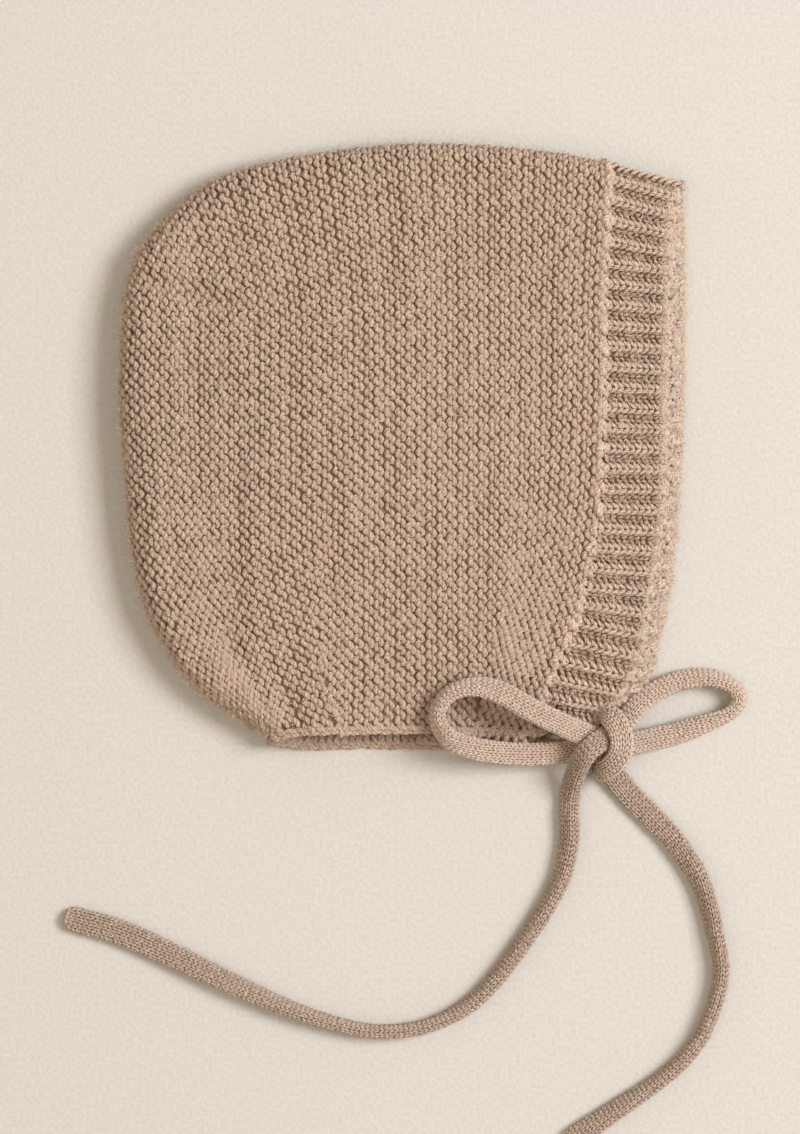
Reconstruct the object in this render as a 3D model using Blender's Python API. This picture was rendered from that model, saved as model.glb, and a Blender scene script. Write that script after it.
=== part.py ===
"""Knitted baby bonnet with tie cords, lying on its side and folded flat on its middle plane.

Metres, +Z up from the surface that it lies on. +Y runs from the neck to the crown, +X from the
back of the head to the face. The near layer is the one on top, the far layer lies under it.
"""

import math
from collections import namedtuple

import bmesh
import bpy
from mathutils import Vector

MM = 0.001

# Knitted walls
GARTER_WALL = 2.6 * MM
RIB_WALL = 2.4 * MM
RIB_HEIGHT = 0.7 * MM  # how far a rib stands out of the band's middle level, and its valley in
PIECE_GAP = 0.5 * MM  # clear space between two pieces that are sewn together

# The form that the folded knit takes as it lies
FOLD_Z = 7.5 * MM  # height of the outermost line of the crown and back folds
FOLD_REACH = 8.5 * MM  # how far in from that line each layer turns level
RIM_TOP = 15.0 * MM  # top of the near layer beside its open edges
DOME_RISE = 8.5 * MM  # how much higher the near layer stands over the middle
DOME_AT = (-8.0 * MM, 8.0 * MM)
DOME_REACH = (44.0 * MM, 54.0 * MM)
BAND_DROOP = 1.6 * MM  # how far the near band sinks towards its free edge
FAR_FACE_SHIFT = 3.9 * MM  # how far the far layer shows past the near one at the face
FAR_NECK_SHIFT = 3.0 * MM  # and at the neck

BODY_WIDTH = 136.0 * MM  # about, from the face seam to the back
BODY_HEIGHT = 160.0 * MM  # about, from the neck to the crown
NECK_WIDTH = 76.0 * MM  # about, from the corner to the nape

# Meshing
BODY_ACROSS = 20  # level cells from the face seam to the back fold
BODY_UP = 18  # level cells from the neck to the crown fold
FOLD_CELLS = 4  # cells round each fold, for each layer
RIB_STEPS = 4  # cells for each rib
BAND_CELLS = 3  # cells from the seam to the band's free edge
EDGE_CELLS = 8  # level cells along each layer's neck edge
OUTLINE_SAMPLES = 200
ON_THE_FOLD = 0.05 * MM  # a spot this close to the fold's line is on it

# Tie cords
CORD_RADIUS = 2.4 * MM  # a round cord of the flat knitted one's section
TAIL_POINT_EVERY = 9.0 * MM
LOOP_POINT_EVERY = 4.0 * MM
EDGE_POINT_EVERY = 4.0 * MM
EDGE_RADIUS = 1.3 * MM

# Colours of the wool
GARTER_COLOUR = (0.52, 0.39, 0.29)
RIB_COLOUR = (0.53, 0.40, 0.30)
CORD_COLOUR = (0.56, 0.44, 0.34)

Spot = namedtuple("Spot", "place x y")
Rib = namedtuple("Rib", "rib seam_x seam_y near_x near_y far_x far_y")
Dent = namedtuple("Dent", "place x y along across turn_deg depth")
Bend = namedtuple("Bend", "x y z")

# Seen from above, in millimetres
BACK = (
    Spot("nape", -37.0, -80.9),
    Spot("nape round", -48.4, -73.6),
    Spot("nape round", -54.9, -69.7),
    Spot("under the occiput", -61.3, -63.3),
    Spot("under the occiput", -66.6, -55.4),
    Spot("back of the head", -72.5, -43.4),
    Spot("back of the head", -75.9, -28.0),
    Spot("back of the head", -78.1, -3.1),
    Spot("widest", -79.2, 20.0),
    Spot("crown corner", -77.6, 42.8),
    Spot("crown corner", -74.8, 54.6),
)
CROWN = (
    Spot("crown corner", -74.8, 54.6),
    Spot("crown corner", -67.5, 63.3),
    Spot("crown corner", -57.7, 72.0),
    Spot("crown", -49.3, 77.0),
    Spot("crown", -35.8, 80.9),
    Spot("crown", -10.4, 84.8),
    Spot("top", 5.3, 86.0),
    Spot("forehead", 30.5, 84.8),
    Spot("forehead", 50.0, 82.2),
    Spot("face seam", 58.5, 80.0),
)
NECK = (
    Spot("neck corner", 37.8, -79.0),
    Spot("side of the neck", 5.3, -78.7),
    Spot("side of the neck", -30.0, -78.7),
    Spot("nape", -37.0, -80.9),
)
BAND_FOLD = (
    Spot("face seam", 58.5, 80.0),
    Spot("band", 70.0, 77.4),
    Spot("free edge", 79.0, 74.4),
)

# The band's ribs, counted from the crown fold down, with both ends of each on the near layer and
# its free end on the far one
BAND_RIBS = (
    Rib(0.0, 58.5, 80.0, 79.0, 74.4, 79.0, 74.4),
    Rib(1.0, 58.2, 75.1, 76.7, 70.0, 79.2, 69.7),
    Rib(3.0, 57.7, 63.6, 75.3, 59.6, 79.4, 59.1),
    Rib(6.0, 56.8, 45.9, 74.8, 44.2, 79.5, 43.7),
    Rib(12.0, 56.3, 11.5, 73.9, 10.6, 79.2, 10.4),
    Rib(16.0, 55.4, -11.2, 73.6, -11.5, 78.1, -12.0),
    Rib(19.0, 53.5, -27.7, 71.7, -28.8, 76.7, -30.0),
    Rib(21.0, 51.2, -38.6, 69.7, -40.0, 75.0, -41.7),
    Rib(23.0, 48.4, -48.4, 67.8, -52.1, 72.2, -54.0),
    Rib(25.0, 44.2, -59.2, 64.7, -63.8, 69.4, -65.8),
    Rib(27.0, 40.0, -69.4, 58.6, -72.8, 62.2, -72.9),
    Rib(28.5, 37.8, -78.6, 53.2, -78.9, 53.6, -79.9),
)

LAST_RIB = BAND_RIBS[-1].rib
SHIFT_RIBS = 4.0  # the far layer comes out from under the near one over this many ribs

# Hollows pressed into the near layer, in millimetres and degrees from +X
DENTS = (
    Dent("beside the left loop", 3.0, -70.0, 16.0, 9.0, 60.0, 2.5),
    Dent("gather at the nape", -42.0, -62.0, 14.0, 3.0, 120.0, 1.4),
    Dent("gather at the nape", -33.0, -67.0, 13.0, 3.0, 115.0, 1.2),
    Dent("crown corner crease", -57.0, 43.0, 16.0, 3.0, -12.0, 1.3),
    Dent("corner drawn in by the knot", 53.0, -78.0, 15.0, 13.0, -40.0, 4.5),
)

# Routes of the tie cords from the knot outwards, in millimetres
LEFT_TAIL = (
    Bend(54.0, -85.4, 12.8),
    Bend(51.2, -86.6, 12.6),
    Bend(48.9, -90.4, 9.6),
    Bend(47.6, -96.0, 4.8),
    Bend(47.2, -102.0, 2.7),
    Bend(47.3, -110.0, 2.5),
    Bend(44.0, -121.5, 2.5),
    Bend(33.3, -138.9, 2.5),
    Bend(20.5, -154.3, 2.5),
    Bend(7.6, -161.3, 2.5),
    Bend(-7.3, -163.5, 2.5),
    Bend(-22.4, -160.2, 2.5),
    Bend(-33.6, -156.2, 2.5),
    Bend(-48.7, -149.5, 2.5),
    Bend(-63.6, -142.0, 2.5),
    Bend(-78.7, -135.2, 2.5),
    Bend(-93.8, -130.5, 2.5),
)
RIGHT_TAIL = (
    Bend(58.6, -90.2, 3.4),
    Bend(64.1, -96.9, 2.5),
    Bend(70.8, -103.6, 2.5),
    Bend(76.4, -109.5, 2.5),
    Bend(83.7, -120.7, 2.5),
    Bend(88.0, -134.7, 2.5),
    Bend(90.2, -148.0, 2.5),
    Bend(87.9, -162.7, 2.5),
    Bend(82.5, -171.3, 2.5),
    Bend(75.3, -178.1, 2.5),
    Bend(64.0, -185.5, 2.5),
    Bend(52.9, -191.8, 2.5),
    Bend(47.9, -194.6, 2.5),
)
LEFT_LOOP = (
    Bend(54.5, -79.6, 15.2),
    Bend(50.4, -78.8, 16.6),
    Bend(44.0, -76.6, 18.2),
    Bend(36.1, -72.8, 19.2),
    Bend(26.9, -67.9, 19.4),
    Bend(20.2, -66.6, 19.2),
    Bend(14.6, -68.6, 18.6),
    Bend(11.9, -72.5, 18.2),
    Bend(11.9, -76.8, 18.0),
    Bend(15.1, -81.8, 18.4),
    Bend(23.5, -85.0, 17.0),
    Bend(33.6, -86.2, 12.6),
    Bend(43.0, -85.4, 8.6),
    Bend(49.6, -83.6, 7.0),
    Bend(54.0, -82.4, 6.8),
)
RIGHT_LOOP = (
    Bend(62.6, -76.4, 9.4),
    Bend(66.9, -71.2, 7.6),
    Bend(73.1, -67.0, 5.4),
    Bend(79.2, -64.7, 3.6),
    Bend(86.6, -64.1, 3.0),
    Bend(92.3, -66.4, 2.6),
    Bend(94.4, -70.3, 2.6),
    Bend(92.0, -73.8, 2.6),
    Bend(86.5, -76.6, 2.6),
    Bend(78.1, -79.5, 3.2),
    Bend(70.2, -81.4, 4.4),
    Bend(65.3, -82.6, 6.0),
)

# The knot, whose long way runs across the cords
KNOT_AT = (59.6 * MM, -82.6 * MM, 9.7 * MM)
KNOT_HALF = (4.6 * MM, 7.2 * MM, 9.4 * MM)
KNOT_TURN_DEG = 8.0
KNOT_WAIST = 0.16  # how much narrower the knot is in its grooves than on its wrap


def clear_scene():
    for thing in list(bpy.data.objects):
        bpy.data.objects.remove(thing)


def wool(name, colour):
    """Soft matt wool."""
    material = bpy.data.materials.new(name)
    material.use_nodes = True
    shader = material.node_tree.nodes["Principled BSDF"]
    shader.inputs["Base Color"].default_value = (*colour, 1.0)
    shader.inputs["Roughness"].default_value = 0.9
    shader.inputs["Metallic"].default_value = 0.0
    return material


def smooth_point(points, stations, at):
    """The point at station `at` on a smooth curve through points, each with its own station."""
    last = len(points) - 1
    i = 0
    while i < last - 1 and stations[i + 1] < at:
        i += 1

    def tangent(k):
        before = max(k - 1, 0)
        after = min(k + 1, last)
        return (points[after] - points[before]) / (stations[after] - stations[before])

    span = stations[i + 1] - stations[i]
    t = (at - stations[i]) / span
    start_weight = 2 * t**3 - 3 * t**2 + 1
    end_weight = 3 * t**2 - 2 * t**3
    start_pull = (t**3 - 2 * t**2 + t) * span
    end_pull = (t**3 - t**2) * span
    return (
        points[i] * start_weight
        + points[i + 1] * end_weight
        + tangent(i) * start_pull
        + tangent(i + 1) * end_pull
    )


def lengths_along(points):
    run = [0.0]
    for a, b in zip(points, points[1:]):
        run.append(run[-1] + (b - a).length)
    return run


def seen_from_above(spots):
    return [Vector((spot.x, spot.y)) * MM for spot in spots]


def share_along(spots):
    """A function from a share of the curve's length, 0 to 1, to the point there."""
    points = seen_from_above(spots)
    run = lengths_along(points)

    def at(share):
        return smooth_point(points, run, share * run[-1])

    return at


back_at = share_along(BACK)
crown_at = share_along(CROWN)
neck_at = share_along(NECK)


def band_line(column_x, column_y):
    """A function from a rib's number to a point on one of the band's lines."""
    points = [Vector((getattr(row, column_x), getattr(row, column_y))) * MM for row in BAND_RIBS]
    ribs = [row.rib for row in BAND_RIBS]

    def at(rib):
        return smooth_point(points, ribs, rib)

    return at


band_seam_at = band_line("seam_x", "seam_y")
near_edge_at = band_line("near_x", "near_y")
far_edge_at = band_line("far_x", "far_y")


def face_seam_at(up):
    """The line where the band is sewn on, from the neck, 0, to the crown fold, 1."""
    return band_seam_at(LAST_RIB * (1 - up))


def sampled(curve, count):
    return [curve(i / count) for i in range(count + 1)]


CLOSED_EDGE = (
    sampled(back_at, OUTLINE_SAMPLES)
    + sampled(crown_at, OUTLINE_SAMPLES)[1:]
    + sampled(share_along(BAND_FOLD), OUTLINE_SAMPLES // 4)[1:]
)


def distance_to_fold(spot):
    """How far a spot lies from the closed edge, seen from above."""
    best = math.inf
    for a, b in zip(CLOSED_EDGE, CLOSED_EDGE[1:]):
        run = b - a
        share = min(1.0, max(0.0, (spot - a).dot(run) / run.length_squared))
        best = min(best, (a + run * share - spot).length)
    return best


def fold_round(spot):
    """0 on the folds' outermost line, 1 where the layer lies level, round in between."""
    inside = max(0.0, distance_to_fold(spot) - ON_THE_FOLD)
    short = 1.0 - min(1.0, inside / FOLD_REACH)
    return math.sqrt(max(0.0, 1.0 - short * short))


def dent_depth(spot):
    depth = 0.0
    for dent in DENTS:
        turn = math.radians(dent.turn_deg)
        off = spot - Vector((dent.x, dent.y)) * MM
        along = (off.x * math.cos(turn) + off.y * math.sin(turn)) / (dent.along * MM)
        across = (off.y * math.cos(turn) - off.x * math.sin(turn)) / (dent.across * MM)
        depth += dent.depth * MM * math.exp(-along * along - across * across)
    return depth


def near_top(spot):
    """Height of the near layer's outer side."""
    x = (spot.x - DOME_AT[0]) / DOME_REACH[0]
    y = (spot.y - DOME_AT[1]) / DOME_REACH[1]
    level = RIM_TOP + DOME_RISE * math.exp(-x * x - y * y) - dent_depth(spot)
    return FOLD_Z + (level - FOLD_Z) * fold_round(spot)


def far_bottom(spot):
    """Height of the far layer's outer side, which lies on the surface away from the folds."""
    return FOLD_Z * (1.0 - fold_round(spot))


def near_spot(across, up):
    """The near layer's plan, filled in between its four edges.

    across runs from the face seam, 0, to the back, 1, and up from the neck to the crown fold.
    """
    between_sides = face_seam_at(up) * (1 - across) + back_at(up) * across
    between_ends = neck_at(across) * (1 - up) + crown_at(1 - across) * up
    neck_corners = neck_at(0.0) * (1 - across) + neck_at(1.0) * across
    crown_corners = crown_at(1.0) * (1 - across) + crown_at(0.0) * across
    return between_sides + between_ends - neck_corners * (1 - up) - crown_corners * up


def far_shift(spot, across, up):
    """The far layer lies a little further out than the near one along the two open edges."""
    face = FAR_FACE_SHIFT * (1 - across) ** 3 * min(1.0, LAST_RIB * (1 - up) / SHIFT_RIBS)
    neck = FAR_NECK_SHIFT * (1 - up) ** 3
    return Vector((face, -neck)) * fold_round(spot)


def fabric_point(across, up, near):
    spot = near_spot(across, up)
    if near:
        return Vector((spot.x, spot.y, near_top(spot)))
    moved = spot + far_shift(spot, across, up)
    return Vector((moved.x, moved.y, far_bottom(spot)))


def stations(level_cells, fold_share):
    """Even stations over the level part, then ones that follow the fold's round."""
    level = [i / level_cells * (1 - fold_share) for i in range(level_cells)]
    turns = [i / FOLD_CELLS * math.pi / 2 for i in range(FOLD_CELLS + 1)]
    return level + [1 - fold_share * (1 - math.sin(turn)) for turn in turns]


def add_object(name, mesh, material):
    mesh.materials.append(material)
    thing = bpy.data.objects.new(name, mesh)
    bpy.context.collection.objects.link(thing)
    return thing


def shell(name, bm, wall, material):
    """Give a sheet its wall, on its inner side."""
    bmesh.ops.remove_doubles(bm, verts=bm.verts, dist=0.01 * MM)
    mesh = bpy.data.meshes.new(name)
    bm.to_mesh(mesh)
    bm.free()
    mesh.shade_smooth()
    thing = add_object(name, mesh, material)
    solidify = thing.modifiers.new("wall", "SOLIDIFY")
    solidify.thickness = wall
    solidify.offset = -1.0
    solidify.use_rim = True
    return thing


def folded_sheet(across_stations, up_stations, point):
    """A grid folded over the crown: each column runs up the near layer and down the far one."""
    rows = 2 * (len(up_stations) - 1)
    bm = bmesh.new()
    bmesh.ops.create_grid(bm, x_segments=len(across_stations) - 1, y_segments=rows, size=1.0)
    for vert in bm.verts:
        column = round((vert.co.x + 1) / 2 * (len(across_stations) - 1))
        row = round((vert.co.y + 1) / 2 * rows)
        near = row <= rows // 2
        up = up_stations[row if near else rows - row]
        vert.co = point(across_stations[column], up, near)
    return bm


def bonnet_body(material):
    across_stations = stations(BODY_ACROSS, FOLD_REACH / BODY_WIDTH)
    up_stations = stations(BODY_UP, FOLD_REACH / BODY_HEIGHT)
    bm = folded_sheet(across_stations, up_stations, fabric_point)
    bmesh.ops.reverse_faces(bm, faces=bm.faces)
    return shell("bonnet_body", bm, GARTER_WALL, material)


def band_point(out, rib, near):
    """out runs from the seam, 0, to the free edge, 1."""
    seam = band_seam_at(rib) + Vector((PIECE_GAP, 0.0))
    near_plan = seam.lerp(near_edge_at(rib), out)
    if near:
        droop = BAND_DROOP * out * out * fold_round(near_plan)
        return Vector((near_plan.x, near_plan.y, near_top(near_plan) - droop - RIB_HEIGHT))
    far_seam = seam + far_shift(band_seam_at(rib), 0.0, 1 - rib / LAST_RIB)
    far_plan = far_seam.lerp(far_edge_at(rib), out)
    return Vector((far_plan.x, far_plan.y, far_bottom(near_plan) + RIB_HEIGHT))


def face_band(material):
    steps = round(LAST_RIB * RIB_STEPS)
    ribs = [LAST_RIB - i / RIB_STEPS for i in range(steps + 1)]
    outs = [i / BAND_CELLS for i in range(BAND_CELLS + 1)]
    rib_of_row = ribs + ribs[-2::-1]

    bm = folded_sheet(outs, ribs, band_point)
    bm.verts.index_update()
    bm.normal_update()
    raised = []
    for vert in bm.verts:
        row = vert.index // len(outs)
        lift = RIB_HEIGHT * math.cos(2 * math.pi * rib_of_row[row])
        raised.append((vert, vert.normal * lift))
    for vert, move in raised:
        vert.co += move
    return shell("face_band", bm, RIB_WALL, material)


def cord_curve(name, route, radius, point_every, material):
    """A round cord through a route, with a point every so often on a smooth curve."""
    points = [Vector((bend.x, bend.y, bend.z)) * MM for bend in route]
    run = lengths_along(points)
    count = round(run[-1] / point_every)
    curve = bpy.data.curves.new(name, "CURVE")
    curve.dimensions = "3D"
    curve.bevel_depth = radius
    curve.bevel_resolution = 2
    curve.use_fill_caps = True
    spline = curve.splines.new("POLY")
    spline.points.add(count)
    for i, knot in enumerate(spline.points):
        knot.co = (*smooth_point(points, run, i / count * run[-1]), 1.0)
    curve.materials.append(material)
    thing = bpy.data.objects.new(name, curve)
    bpy.context.collection.objects.link(thing)
    return thing


def neck_edge(material):
    """The bound-off edge, along the near layer to the nape and back along the far one."""
    out = EDGE_RADIUS + PIECE_GAP
    shares = stations(EDGE_CELLS, FOLD_REACH / NECK_WIDTH)
    near = []
    far = []
    for share in shares:
        top = fabric_point(share, 0.0, True)
        bottom = fabric_point(share, 0.0, False)
        near.append(Bend(top.x / MM, (top.y - out) / MM, (top.z - EDGE_RADIUS) / MM))
        far.append(Bend(bottom.x / MM, (bottom.y - out) / MM, (bottom.z + out) / MM))
    nape = fabric_point(1.0, 0.0, True)
    turn = Bend(nape.x / MM, (nape.y - out) / MM, FOLD_Z / MM)
    route = near[:-1] + [turn] + far[-2::-1]
    return cord_curve("neck_edge", route, EDGE_RADIUS, EDGE_POINT_EVERY, material)


def bow_knot(material):
    """The wrap over the cords, a rounded lump drawn in on both sides of the wrap."""
    bm = bmesh.new()
    bmesh.ops.create_uvsphere(bm, u_segments=16, v_segments=12, radius=1.0)
    for vert in bm.verts:
        groove = math.exp(-(((abs(vert.co.x) - 0.72) / 0.22) ** 2))
        vert.co.y *= 1 - KNOT_WAIST * groove
        vert.co.z *= 1 - KNOT_WAIST * groove
    bmesh.ops.scale(bm, vec=KNOT_HALF, verts=bm.verts)
    mesh = bpy.data.meshes.new("bow_knot")
    bm.to_mesh(mesh)
    bm.free()
    mesh.shade_smooth()
    knot = add_object("bow_knot", mesh, material)
    knot.location = KNOT_AT
    knot.rotation_euler = (0.0, 0.0, math.radians(KNOT_TURN_DEG))
    return knot


def main():
    clear_scene()
    stand = bpy.data.objects.new("bonnet", None)
    bpy.context.collection.objects.link(stand)

    cords = (
        ("bow_loop_left", LEFT_LOOP, LOOP_POINT_EVERY),
        ("bow_loop_right", RIGHT_LOOP, LOOP_POINT_EVERY),
        ("tie_tail_left", LEFT_TAIL, TAIL_POINT_EVERY),
        ("tie_tail_right", RIGHT_TAIL, TAIL_POINT_EVERY),
    )
    pieces = [
        bonnet_body(wool("garter_wool", GARTER_COLOUR)),
        face_band(wool("rib_wool", RIB_COLOUR)),
        neck_edge(wool("edge_wool", GARTER_COLOUR)),
        bow_knot(wool("knot_wool", CORD_COLOUR)),
    ]
    for name, route, point_every in cords:
        material = wool(name + "_wool", CORD_COLOUR)
        pieces.append(cord_curve(name, route, CORD_RADIUS, point_every, material))
    for piece in pieces:
        piece.parent = stand


main()
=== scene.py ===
"""A hand-knitted baby bonnet with tie cords, lying folded flat on pale paper.

The garter stitch, the ribs and the cords are modelled stitch by stitch over thin sheets and cores,
darkened as painted shade.
Places are in millimetres, with +Y from the neck to the crown and +X from the back of the head to
the face, and become metres where a mesh is made. The lights and the paper are given in metres.
The near layer is the one on top.
"""

import math

import bmesh
import bpy
import numpy as np
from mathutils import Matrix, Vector


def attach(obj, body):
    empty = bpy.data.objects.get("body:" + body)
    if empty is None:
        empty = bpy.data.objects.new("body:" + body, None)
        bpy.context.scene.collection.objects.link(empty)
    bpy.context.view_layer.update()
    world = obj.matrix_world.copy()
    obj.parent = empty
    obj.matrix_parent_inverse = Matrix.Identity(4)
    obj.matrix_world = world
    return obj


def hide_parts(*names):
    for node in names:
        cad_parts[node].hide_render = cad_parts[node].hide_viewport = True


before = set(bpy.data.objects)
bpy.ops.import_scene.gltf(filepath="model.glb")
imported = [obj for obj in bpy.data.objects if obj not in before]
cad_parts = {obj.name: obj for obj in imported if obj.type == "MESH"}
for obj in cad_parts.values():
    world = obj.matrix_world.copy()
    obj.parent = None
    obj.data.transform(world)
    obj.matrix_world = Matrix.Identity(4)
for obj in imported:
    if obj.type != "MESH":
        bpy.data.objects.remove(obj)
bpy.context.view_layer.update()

MM = 0.001
rng = np.random.default_rng(7)

# The camera looks straight down on a frame of 800 x 1134 points
FRAME_HEIGHT = 317.5
FRAME_CENTRE = (-0.28, -33.04)
FRAME_LEVEL = 8.0  # the height at which the frame has that size
SENSOR = 36.0
LENS = 150.0

# The folded form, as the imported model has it
FOLD_Z = 7.5
FOLD_REACH = 8.5
FOLD_LENGTH = 11.2  # along the knit, from the level part to the fold's outermost line
RIM_TOP = 15.0
DOME_RISE = 8.5
DOME_AT = (-17.0, 8.0)
DOME_REACH = (52.0, 56.0)
BAND_DROOP = 1.6
FAR_FACE_SHIFT = 3.9
FAR_NECK_SHIFT = 3.0
BODY_WIDTH = 136.0
BODY_HEIGHT = 160.0
RIB_HEIGHT = 0.95
RIB_PITCH = 5.6
PIECE_GAP = 0.5  # between the body's edge and the band
SHIFT_RIBS = 4.0  # how many ribs below the crown the far side's shift is whole

BACK = (
    (-37.0, -80.9), (-48.4, -73.6), (-54.9, -69.7), (-61.3, -63.3), (-66.6, -55.4), (-72.5, -43.4),
    (-75.9, -28.0), (-78.1, -3.1), (-79.2, 20.0), (-77.6, 42.8), (-74.8, 54.6),
)
CROWN = (
    (-74.8, 54.6), (-67.5, 63.3), (-57.7, 72.0), (-49.3, 77.0), (-35.8, 80.9), (-10.4, 84.8),
    (5.3, 86.0), (30.5, 84.8), (50.0, 82.2), (58.5, 80.0),
)
BAND_FOLD = ((58.5, 80.0), (70.0, 77.4), (79.0, 74.4))
NECK = ((38.4, -81.0), (24.0, -80.5), (5.3, -79.0), (-30.0, -78.7), (-37.0, -80.9))

# A rib's number, then its ends at the seam, at the near free edge and at the far free edge
BAND_RIBS = np.array((
    (0.0, 58.5, 80.0, 79.0, 74.4, 79.0, 74.4),
    (1.0, 58.2, 75.1, 76.7, 70.0, 79.2, 69.7),
    (3.0, 57.7, 63.6, 75.3, 59.6, 79.4, 59.1),
    (6.0, 56.8, 45.9, 74.8, 44.2, 79.5, 43.7),
    (12.0, 56.3, 11.5, 73.9, 10.6, 79.2, 10.4),
    (16.0, 55.4, -11.2, 73.6, -11.5, 78.1, -12.0),
    (19.0, 53.5, -27.7, 71.7, -28.8, 76.7, -30.0),
    (21.0, 51.2, -38.6, 69.7, -40.0, 75.0, -41.7),
    (23.0, 48.4, -48.4, 67.8, -52.1, 72.2, -54.0),
    (25.0, 44.2, -59.2, 64.7, -63.8, 69.4, -65.8),
    (27.0, 40.0, -69.4, 58.6, -72.8, 62.2, -72.9),
    (28.5, 37.8, -78.6, 53.2, -78.9, 53.6, -79.9),
))
LAST_RIB = BAND_RIBS[-1, 0]

# Hollows in the near layer: place, reach along and across, turn in degrees, depth
DENTS = (
    (3.0, -70.0, 16.0, 9.0, 60.0, 2.5),
    (-42.0, -62.0, 14.0, 2.8, 120.0, 1.8),
    (-33.0, -67.0, 13.0, 2.8, 115.0, 1.6),
    (-57.0, 44.0, 17.0, 2.4, -16.0, 2.0),
    (53.0, -78.0, 15.0, 13.0, -40.0, 4.5),
    (25.5, -77.5, 13.5, 10.0, -6.0, 10.5),
)

# Slight upright waves in the near layer: half height, pitch and sideways drift
RIPPLES = ((0.30, 23.0, 3.0), (0.22, 13.7, -2.4), (0.12, 8.9, 1.7))
DRIFT_LENGTH = 19.0

# The tie cords' routes from the knot outwards
LEFT_TAIL = (
    (60.0, -79.8, 12.6), (57.2, -80.7, 14.2), (54.3, -82.3, 15.8), (51.4, -85.1, 15.4),
    (49.2, -89.6, 11.0), (47.6, -96.0, 5.2), (47.2, -102.0, 2.7), (47.3, -110.0, 2.5),
    (44.4, -121.8, 2.5), (33.8, -139.3, 2.5), (20.9, -154.7, 2.5), (7.7, -161.8, 2.5),
    (-7.3, -163.5, 2.5), (-22.4, -160.2, 2.5), (-33.6, -156.2, 2.5), (-48.7, -149.5, 2.5),
    (-63.6, -142.5, 2.5), (-78.7, -135.9, 2.5), (-94.7, -131.3, 2.5),
)
RIGHT_TAIL = (
    (57.0, -87.4, 5.2), (59.4, -91.0, 3.4), (64.1, -96.9, 2.5), (70.8, -103.6, 2.5),
    (76.4, -109.5, 2.5), (83.7, -120.7, 2.5), (88.0, -134.7, 2.5), (89.9, -148.1, 2.5),
    (85.6, -162.6, 2.5), (80.0, -170.8, 2.5), (72.5, -177.4, 2.5), (61.9, -184.6, 2.5),
    (51.5, -191.6, 2.5), (46.7, -194.6, 2.5),
)
LEFT_LOOP = (
    (57.4, -81.2, 9.0), (54.0, -80.6, 10.2), (49.4, -79.0, 13.0), (43.4, -76.2, 16.8),
    (36.1, -72.6, 20.0), (26.9, -67.6, 20.6), (20.0, -66.2, 20.2), (13.6, -68.2, 19.4),
    (10.5, -72.3, 18.8), (10.5, -76.6, 18.2), (14.1, -81.2, 16.6), (22.8, -84.2, 13.0),
    (33.2, -85.4, 8.4), (43.0, -85.2, 6.2), (49.6, -84.0, 5.8), (55.6, -82.8, 6.6),
)
RIGHT_LOOP = (
    (59.8, -79.6, 10.6), (62.8, -76.2, 9.4), (66.9, -71.2, 7.6), (73.1, -67.0, 5.4),
    (79.2, -64.7, 3.6), (86.8, -64.1, 3.0), (92.9, -66.3, 2.6), (95.2, -70.2, 2.6),
    (92.6, -73.9, 2.6), (86.5, -76.6, 2.6), (78.1, -79.5, 3.2), (70.2, -81.4, 4.4),
    (65.3, -82.4, 6.0), (61.0, -83.2, 8.6), (57.6, -85.4, 10.4), (55.2, -89.0, 8.6),
)
KNOT_AT = (59.6, -82.6, 9.7)


# Camera and light

def new_object(name, data):
    thing = bpy.data.objects.new(name, data)
    bpy.context.collection.objects.link(thing)
    return thing


def camera_overhead():
    camera = bpy.data.cameras.new("overhead")
    camera.sensor_width = SENSOR
    camera.lens = LENS
    camera.clip_start = 0.05
    camera.clip_end = 10.0
    thing = new_object("overhead", camera)
    height = FRAME_LEVEL + FRAME_HEIGHT * LENS / SENSOR
    thing.location = (FRAME_CENTRE[0] * MM, FRAME_CENTRE[1] * MM, height * MM)
    bpy.context.scene.camera = thing


def area_light(name, place, aim, size, power, colour):
    light = bpy.data.lights.new(name, "AREA")
    light.shape = "SQUARE"
    light.size = size
    light.energy = power
    light.color = colour
    thing = new_object(name, light)
    thing.location = place
    thing.rotation_euler = (Vector(aim) - Vector(place)).to_track_quat("-Z", "Y").to_euler()


def lights():
    area_light("window", (1.20, 0.22, 1.52), (0.0, -0.03, 0.0), 0.80, 31.2, (0.985, 0.972, 0.952))
    area_light("sky", (-0.35, -0.35, 2.2), (0.0, -0.03, 0.0), 1.8, 10.1, (1.0, 0.81, 0.59))
    area_light("wall", (-1.35, -0.10, 0.85), (-0.05, 0.0, 0.0), 1.2, 1.7, (1.0, 0.81, 0.59))
    world = bpy.data.worlds.new("room")
    world.use_nodes = True
    background = world.node_tree.nodes["Background"]
    background.inputs["Color"].default_value = (1.0, 0.89, 0.755, 1.0)
    background.inputs["Strength"].default_value = 0.36
    bpy.context.scene.world = world


camera_overhead()
lights()
bpy.context.scene.view_settings.view_transform = "Standard"


# Curves and the folded form

PAST_NECK = 30.0  # how far the folds' line is carried on past the nape
BATCH = 4000  # spots worked out at a time, to save memory


def unit(vectors):
    return vectors / np.linalg.norm(vectors, axis=-1)[..., None]


def smooth_at(points, stations, at):
    """Points at stations `at` on a smooth curve through points, each with its own station."""
    points = np.asarray(points)
    before = np.maximum(np.arange(len(points)) - 1, 0)
    after = np.minimum(np.arange(len(points)) + 1, len(points) - 1)
    pull = (points[after] - points[before]) / (stations[after] - stations[before])[:, None]
    i = np.clip(np.searchsorted(stations, at, side="right") - 1, 0, len(points) - 2)
    span = stations[i + 1] - stations[i]
    t = ((at - stations[i]) / span)[..., None]
    span = span[..., None]
    return (
        points[i] * (2 * t**3 - 3 * t**2 + 1)
        + points[i + 1] * (3 * t**2 - 2 * t**3)
        + pull[i] * (t**3 - 2 * t**2 + t) * span
        + pull[i + 1] * (t**3 - t**2) * span
    )


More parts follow.
